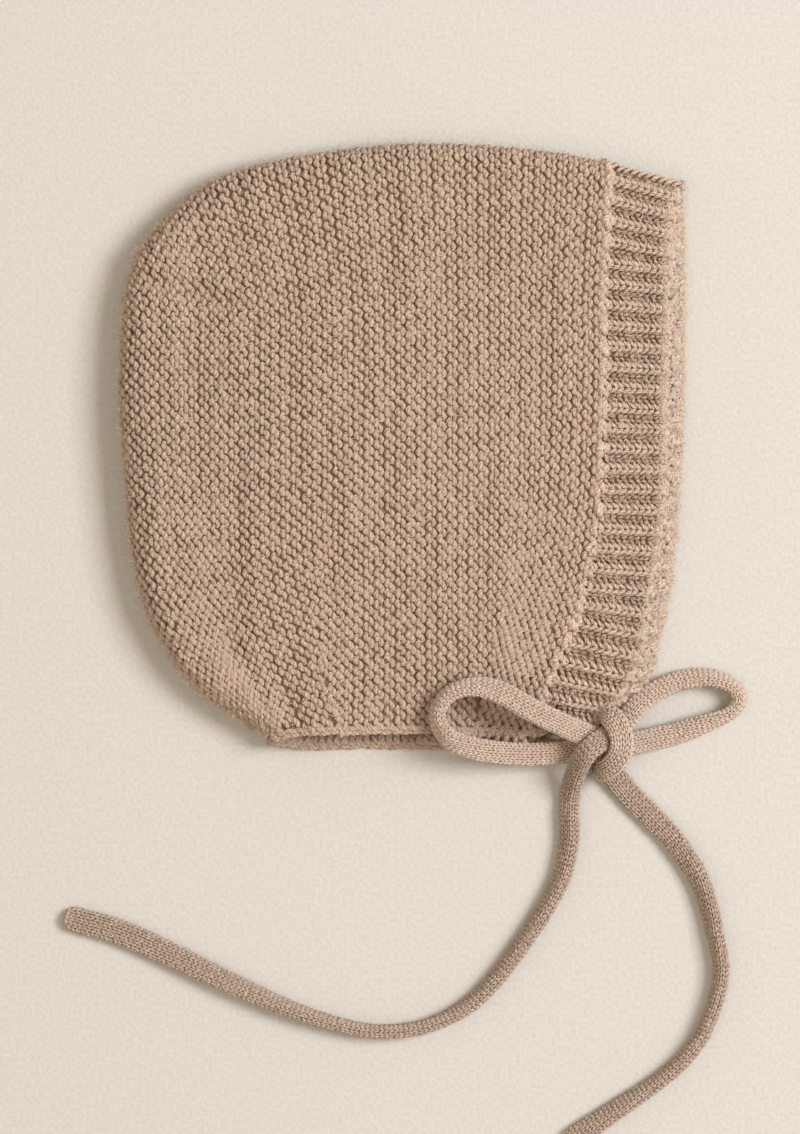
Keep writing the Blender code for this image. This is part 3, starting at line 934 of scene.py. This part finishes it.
def garter_stitches(near, rings):
    """Centres, normals and half sizes of both lobes of every stitch."""
    cells = garter_cells()
    count = len(cells)
    reach = np.linspace(-1.0, 1.0, rings)
    parts = []
    for lobe, tilt in ((1.0, 0.06), (-1.0, 0.10)):
        slant = tilt + uneven(count, 0.03)
        bow = lobe * (0.27 - 0.28 * reach**2) - slant * reach
        u = cells[:, :1] + bow + uneven(count, 0.025)
        v = cells[:, 1:2] - lobe * 0.25 + 0.41 * reach + uneven(count, 0.035)
        height = -0.86 - 0.20 * reach**2 - 0.80 * reach**4 + uneven(count, 0.12)
        sector = np.broadcast_to(cells[:, 2:], u.shape)
        spots = ridge_spot(u.ravel(), v.ravel(), sector.ravel())
        places, normals = raised(lambda s: fabric(s, near), spots, height.ravel(), not near, 0.5)
        wide = 0.885 * np.sqrt(1.0 - 0.55 * reach**2) * uneven(count, 0.09, 1.0)
        parts.append((places.reshape(count, rings, 3), normals.reshape(count, rings, 3), wide))
    return joined(parts)


def garter_yarn():
    pieces = []
    for label, near, rings, sides in (("near", True, 6, 5), ("far", False, 4, 4)):
        strands = garter_stitches(near, rings)
        middle = strands[0][:, rings // 2, 0]
        split = np.median(middle)
        for half, mine in (("back", middle < split), ("front", middle >= split)):
            some = [values[mine] for values in strands]
            pieces.append(yarn_piece(f"garter_{label}_{half}", *some, 0.95, sides, GARTER_WOOL))
    return pieces


def garter_fibres():
    """Fibres of the near layer, most of them along its folds."""
    u = rng.uniform(0.0, RIDGES, GARTER_FIBRES)
    v = rng.uniform(0.0, STITCHES, GARTER_FIBRES)
    spots = ridge_spot(u, v, np.ones(GARTER_FIBRES))
    plan, turn = rolled(spots)
    x, y = plan.T
    low = turn > LOW_TURN
    mine = (y > neck_y(x)) & (x < seam_x(y)) & (turn < LAST_TURN)
    mine &= low | (rng.uniform(0.0, 1.0, GARTER_FIBRES) < 0.12)
    spots = spots[mine]
    starts, normals = raised(lambda s: fabric(s, True), spots, np.full(len(spots), -0.25), False, 0.5)
    return fibre_piece("garter_fibres", starts, normals, 1.9, np.where(low[mine], 0.8, 0.45))


# The knit's own wall, under the stitches, its dark wool painted shade

UNDER_YARN = 1.45  # how deep the sheet lies under the stitches' tops
SHEET_WALL = 0.9
LEVEL_CELLS = 36


def near_plan(across, up):
    """The near layer's plan, filled in between its four edges."""
    across = across[:, None]
    up = up[:, None]
    seam = smooth_at(BAND_RIBS[:, 1:3], BAND_RIBS[:, 0], LAST_RIB * (1 - up[:, 0]))
    sides = seam * (1 - across) + share_along(BACK, up[:, 0]) * across
    ends = share_along(NECK, across[:, 0]) * (1 - up) + share_along(CROWN, 1 - across[:, 0]) * up
    neck_corners = np.array(NECK[0]) * (1 - across) + np.array(NECK[-1]) * across
    crown_corners = np.array(CROWN[-1]) * (1 - across) + np.array(CROWN[0]) * across
    return sides + ends - neck_corners * (1 - up) - crown_corners * up


def fold_turn(plan):
    """How far the knit has turned down at places seen from above."""
    inside = nearest_on_fold(plan)[2]
    return np.arcsin(np.clip(1 - np.maximum(inside - 0.05, 0.0) / FOLD_REACH, 0.0, 1.0))


def body_places(across, up, near):
    plan = near_plan(across, up)
    return layer_places(plan, fold_turn(plan), near, across, up, LAST_RIB * (1 - up))


def folded_sheet(name, across_stations, up_stations, places, depth, material):
    """A sheet folded over the crown: each column runs up the near layer and down the far one."""
    rows = 2 * (len(up_stations) - 1)
    columns = len(across_stations) - 1
    bm = bmesh.new()
    bmesh.ops.create_grid(bm, x_segments=columns, y_segments=rows, size=1.0)
    grid = np.array([vert.co[:2] for vert in bm.verts])
    column = np.rint((grid[:, 0] + 1) / 2 * columns).astype(int)
    row = np.rint((grid[:, 1] + 1) / 2 * rows).astype(int)
    near = row <= rows // 2
    across = across_stations[column]
    up = up_stations[np.where(near, row, rows - row)]
    shape = np.empty((len(grid), 3))
    shape[near] = places(across[near], up[near], True)
    shape[~near] = places(across[~near], up[~near], False)
    for vert, place in zip(bm.verts, shape):
        vert.co = place * MM
    bmesh.ops.remove_doubles(bm, verts=bm.verts, dist=0.05 * MM)
    bm.normal_update()
    top = max(bm.faces, key=lambda face: face.calc_center_median().z)
    if top.normal.z < 0:
        bmesh.ops.reverse_faces(bm, faces=bm.faces)
        bm.normal_update()
    for vert, normal in [(vert, vert.normal.copy()) for vert in bm.verts]:
        vert.co -= normal * depth * MM
    thing = bmesh_piece(name, bm, material)
    solidify = thing.modifiers.new("wall", "SOLIDIFY")
    solidify.thickness = SHEET_WALL * MM
    solidify.offset = -1.0
    return thing


def fold_stations(size):
    """Shares of a layer's size, close together where it turns down into the fold."""
    fold_share = FOLD_REACH / size
    level = np.arange(LEVEL_CELLS) / LEVEL_CELLS * (1 - fold_share)
    turns = np.linspace(0.0, math.pi / 2, 6)
    return np.concatenate((level, 1 - fold_share * (1 - np.sin(turns))))


def garter_sheet():
    across = fold_stations(BODY_WIDTH)
    up = fold_stations(BODY_HEIGHT)
    return folded_sheet("garter_fabric", across, up, body_places, UNDER_YARN, DEEP_SHADE_WOOL)


# The ribbed band

NEAR_STITCHES = 10  # columns of V's from the seam to the near free edge
FAR_STITCHES = 12
V_HALF = 0.27  # half a column's height, in ribs
RIB_YARN = 0.62  # half a strand's thickness
VALLEY_YARN = 0.56
UNDER_RIBS = 1.15  # how deep the sheet lies under the band's outer side
CELLS_A_RIB = 6
CLOSE_ROWS = 2.5  # bumps to a rib on the far inner side, next to its free edge
END_STITCHES = 12
BAND_FIBRES = (5000, 4000, 2600)  # all over, along the free edge, and on the far inner side


def band(spots):
    """The band's outer side at its middle level, for spots (out, rib), far ones with rib < 0."""
    out = spots[:, :1]
    rib = np.abs(spots[:, 1])
    lines = (BAND_RIBS[:, k:k + 2] for k in (1, 3, 5))
    seam, near_edge, far_edge = (smooth_at(line, BAND_RIBS[:, 0], rib) for line in lines)
    start = seam + (PIECE_GAP, 0.0)
    near_place = start + (near_edge - start) * out
    turn = fold_turn(near_place)
    level = np.cos(turn)[:, None]
    droop = BAND_DROOP * out * out * level
    height = FOLD_Z + (level_height(near_place)[:, None] - FOLD_Z) * level - droop - RIB_HEIGHT
    near_all = np.concatenate((near_place, height), 1)
    shift = FAR_FACE_SHIFT * np.clip(rib / SHIFT_RIBS, 0.0, 1.0)
    drop = FAR_NECK_SHIFT * (rib / LAST_RIB) ** 3
    far_start = start + np.column_stack((shift, -drop)) * np.cos(fold_turn(seam))[:, None]
    far_place = far_start + (far_edge - far_start) * out
    far_all = np.concatenate((far_place, FOLD_Z * (1 - level) + RIB_HEIGHT), 1)
    return np.where((spots[:, 1] >= 0)[:, None], near_all, far_all)


def band_places(across, up, near):
    rib = (1 - up) * LAST_RIB
    spots = np.column_stack((across, rib if near else -rib))
    places, normals = raised(band, spots, np.zeros(len(spots)), True)
    return places + normals * (RIB_HEIGHT * np.cos(2 * math.pi * rib))[:, None]


# The band's sheet is dark wool as painted shade between the stitches
def band_sheet():
    up = 1 - np.arange(int(LAST_RIB * CELLS_A_RIB) + 1)[::-1] / CELLS_A_RIB / LAST_RIB
    return folded_sheet(
        "band_fabric", np.linspace(0.0, 0.94, 7), up, band_places, UNDER_RIBS, BAND_DEEP_SHADE_WOOL,
    )


def band_strands(out, rib, depth, wide, inner=False):
    """Centres, normals and half sizes of strands on the band; out, rib and depth are (strand, ring)."""
    spots = np.stack((out, rib), -1).reshape(-1, 2)
    relief = RIB_HEIGHT * np.cos(2 * math.pi * rib)
    places, normals = raised(band, spots, (relief - depth).ravel(), True)
    if inner:
        normals = -normals
    shape = out.shape + (3,)
    return places.reshape(shape), normals.reshape(shape), wide


def paired(ribs, count):
    """The rib, stitch and side, -1 or 1, of every pair of half stitches, as columns."""
    grids = np.meshgrid(ribs, np.arange(count), (-1.0, 1.0), indexing="ij")
    return [grid.reshape(-1, 1) for grid in grids]


def rib_stitches():
    """The band's V's on its ribs and the small bumps in its valleys."""
    reach = np.linspace(-1.0, 1.0, 5)
    legs = []
    bumps = []
    for sign, first_rib, count in ((1.0, 0, NEAR_STITCHES), (-1.0, 1, FAR_STITCHES)):
        rib, stitch, leg = paired(np.arange(first_rib, int(LAST_RIB) + 1), count)
        some = len(rib)
        out = (stitch + 0.35) / count + (reach * 0.62 + uneven(some, 0.04)) / count
        turn = sign * rib + leg * (V_HALF * 0.56 - 0.46 * V_HALF * reach) + uneven(some, 0.008)
        deep = 0.45 + 0.5 * np.maximum(0.0, reach) ** 3 + 0.35 * np.maximum(0.0, -reach) ** 3
        deep = deep + uneven(some, 0.05)
        legs.append((out, turn, deep, tapered(RIB_YARN, 0.45, reach, some, 0.06)))

        rib, stitch, side = paired(np.arange(int(LAST_RIB)) + 0.5, count)
        some = len(rib)
        place = (stitch + 0.6 + 0.12 * side) / count
        out = place + (0.34 * reach + uneven(some, 0.06)) / count
        turn = sign * rib + 0.105 * side + 0.06 * side * reach + uneven(some, 0.008)
        deep = 0.55 + 0.5 * reach**4 + uneven(some, 0.12)
        bumps.append((out, turn, deep, tapered(VALLEY_YARN, 0.35, reach, some, 0.09)))
    return [
        yarn_piece("rib_stitches", *band_strands(*joined(legs)), 0.95, 5, RIB_WOOL),
        yarn_piece("valley_stitches", *band_strands(*joined(bumps)), 0.95, 5, VALLEY_SHADE_WOOL),
    ]


def lumps(out, rib, deep, wide, long_out, long_rib, inner=False):
    """Soft stitches at places on the band: their middles, depths, half sizes and reaches."""
    reach = np.linspace(-1.0, 1.0, 5)
    rib = rib[:, None]
    some = len(rib)
    bend = uneven(some, 0.012) * (1 - reach**2)
    long_out = long_out + uneven(some, 0.016)
    out = np.reshape(out, (-1, 1)) + uneven(some, 0.010) + long_out * reach + bend
    rib = rib + uneven(some, 0.035) + long_rib * reach
    deep = deep + (-0.3 if inner else 0.3) * reach**2 + uneven(some, 0.12)
    return band_strands(out, rib, deep, tapered(wide, 0.35, reach, some, 0.09), inner)


def edge_stitches():
    """The bound-off free edges, the band's two ends at the neck, and the far inner side's bumps."""
    near_ribs = np.arange(0.25, 2 * LAST_RIB) / 2
    far_ribs = -near_ribs
    parts = [
        lumps(1.01, near_ribs, 0.85, 0.95, 0.030, 0.18),
        lumps(0.965, near_ribs + 0.25, 0.95, 0.90, -0.030, 0.17),
        lumps(0.925, far_ribs, 0.9, 1.0, 0.020, 0.17),
        lumps(0.965, near_ribs, 2.8, 1.0, -0.025, 0.17, True),
        lumps(1.035, near_ribs[2:] + 0.1, 2.2, 0.95, -0.025, 0.18, True),
    ]
    close_ribs = -np.arange(3.1, CLOSE_ROWS * LAST_RIB) / CLOSE_ROWS
    for column, deep, lean in (
        (0.965, 2.5, 0.02), (0.930, 3.4, -0.02), (0.890, 4.2, 0.02),
        (0.850, 4.8, -0.02), (0.810, 5.2, 0.02), (0.770, 5.2, -0.02),
    ):
        stagger = (column * 4) % 0.4
        parts.append(lumps(column, close_ribs - stagger, deep, 1.0, lean, 0.17, True))
    for column in (0.80, 0.73, 0.66):
        parts.append(lumps(column, far_ribs, 2.2, 0.75, 0.02, 0.20, True))
        parts.append(lumps(column + 0.1, near_ribs, 2.2, 0.75, 0.02, 0.20, True))
    steps = (np.arange(END_STITCHES) + 0.5) / END_STITCHES
    for end, deep, inner in (
        (LAST_RIB - 0.08, 0.8, False), (-LAST_RIB + 0.08, 0.8, False), (LAST_RIB - 0.16, 2.2, False),
        (-LAST_RIB + 0.05, 2.4, True), (-LAST_RIB + 0.28, 2.6, True), (-LAST_RIB + 0.52, 2.8, True),
        (-LAST_RIB + 0.76, 2.8, True), (-LAST_RIB + 1.0, 2.8, True), (-LAST_RIB + 1.25, 2.6, True),
    ):
        parts.append(lumps(steps, np.full(END_STITCHES, end), deep, 1.0, 0.055, 0.0, inner))
    return yarn_piece("band_free_edges", *joined(parts), 0.9, 5, EDGE_WOOL)


def seam_stitches():
    """The raised line where the band is sewn to the garter part."""
    rib = np.arange(-2 * LAST_RIB + 0.5, 2 * LAST_RIB) / 2
    parts = (
        lumps(-0.035, rib, 0.05, 1.1, 0.035, 0.21),
        lumps(-0.075, rib + 0.25, 0.35, 0.95, -0.02, 0.16),
        lumps(0.02, rib + 0.2, 0.7, 0.75, 0.02, 0.18),
    )
    return yarn_piece("face_seam", *joined(parts), 0.9, 5, RIB_WOOL)


def band_fibres():
    over, edge, inner = BAND_FIBRES
    out = np.concatenate((rng.uniform(0.0, 1.0, over), rng.uniform(0.9, 1.03, edge)))
    rib = rng.uniform(-LAST_RIB, LAST_RIB, len(out))
    relief = RIB_HEIGHT * np.cos(2 * math.pi * rib) - 0.2
    starts, normals = raised(band, np.column_stack((out, rib)), relief, True)
    out = rng.uniform(0.84, 1.0, inner)
    rib = rng.uniform(-LAST_RIB, 0.0, inner)
    low_starts, low_normals = raised(band, np.column_stack((out, rib)), -3.3 - (1 - out) * 12, True)
    starts = np.concatenate((starts, low_starts))
    normals = np.concatenate((normals, -low_normals))
    return fibre_piece("band_fibres", starts, normals, 2.0)


# The bound-off neck edge

NECK_STITCH = 2.9  # from one stitch to the next
FAR_EDGE_DROP = 2.4  # how much lower the far edge's chain hangs
SHOWN_FROM = -38.0  # the far edge comes out from under the near one past this x
SHOWN_WIDTH = 14.0


def neck_route(near):
    """The neck edge of one layer, from the face to the nape, a little below its outer side."""
    across = np.linspace(0.0, 1.0, 60)
    places = body_places(across, np.zeros(len(across)), near)
    shown = smooth_step((places[:, 0] - SHOWN_FROM) / SHOWN_WIDTH)
    if near:
        places[:, 1] -= 0.9
        places[:, 2] -= 1.0
        places = np.concatenate((places[:1] + (4.5, 0.9, -0.8), places))
    else:
        places[:, 1] -= FAR_EDGE_DROP * shown
        places[:, 2] = 1.5 + 4.5 * (1 - shown)
    return places


def row_of_strands(route, pitch, start, half_long, half_wide, shift, lean):
    """Short strands end to end along a route: shift is (y, z), lean their rise in y."""
    reach = np.linspace(-1.0, 1.0, 6)
    run = run_along(route)
    middle = np.arange(start, run[-1], pitch)[:, None]
    some = len(middle)
    along = np.clip(middle + half_long * reach + uneven(some, 0.15), 0.0, run[-1])
    places = at_run(along, run, route)
    places[..., 1] += shift[0] + lean * reach + uneven(some, 0.12)
    places[..., 2] += shift[1] - 0.45 * reach**2 + uneven(some, 0.10)
    normals = np.broadcast_to((0.0, 0.0, 1.0), places.shape)
    return places, normals, tapered(half_wide, 0.45, reach, some, 0.10)


def neck_chain():
    """Loose slanting stitches in two rows along both layers' neck edges, and the far inner side."""
    parts = []
    near_route = neck_route(True)
    far_route = neck_route(False)
    for route in (near_route, far_route):
        parts.append(row_of_strands(route, NECK_STITCH, 1.2, 1.9, 0.82, (0.55, 0.30), 0.35))
        parts.append(row_of_strands(route, NECK_STITCH, 2.6, 1.9, 0.78, (-0.45, -0.10), -0.30))
    for rise, start in ((1.6, 1.0), (3.2, 2.9), (4.8, 1.4), (6.4, 2.6)):
        parts.append(row_of_strands(far_route, 2.1, start, 0.5, 1.05, (rise, 0.2), 1.15))
    return yarn_piece("neck_edge_stitches", *joined(parts), 0.9, 5, GARTER_WOOL)


# The knot

KNOT_HALF = (3.2, 5.6, 7.0)  # the core's half sizes
KNOT_SHIFT = (-1.0, 0.0, -0.6)  # of the core, off KNOT_AT
WRAP = (
    (56.8, -76.0, 5.0), (57.0, -74.6, 9.0), (58.4, -74.8, 13.4), (60.3, -77.4, 16.6),
    (61.4, -80.9, 17.9), (61.0, -84.8, 17.1), (58.8, -88.2, 14.0), (56.4, -90.0, 9.4),
    (56.2, -89.4, 5.0), (57.4, -86.0, 2.6), (58.0, -81.0, 2.2), (57.2, -78.0, 2.8),
)


# The knot's core is dark wool as painted shade inside the wrap
def knot_core():
    bm = bmesh.new()
    bmesh.ops.create_uvsphere(bm, u_segments=24, v_segments=16, radius=1.0)
    for vert in bm.verts:
        vert.co = [part * half for part, half in zip(vert.co, KNOT_HALF)]
        vert.co = (vert.co + Vector(KNOT_AT) + Vector(KNOT_SHIFT)) * MM
    return bmesh_piece("knot_core", bm, DEEP_SHADE_WOOL)


def knot_pieces():
    cord = Cord(WRAP, ((0.0, 0.0), (1.0, 0.0)))
    return [
        knot_core(), cord_core("knot_wrap_core", cord, CORD_DEEP_SHADE_WOOL),
        cord_stitches("knot_wrap_stitches", cord, CORD_WOOL),
    ]


GARTER_SHEET = garter_sheet()
GARTER_YARN = garter_yarn() + [garter_fibres()]
keep([GARTER_SHEET] + GARTER_YARN, "bonnet_body")

BAND_SHEET = band_sheet()
BAND_YARN = rib_stitches() + [edge_stitches(), seam_stitches(), band_fibres()]
keep([BAND_SHEET] + BAND_YARN, "face_band")

keep([neck_chain()], "neck_edge")
keep(knot_pieces(), "bow_knot")
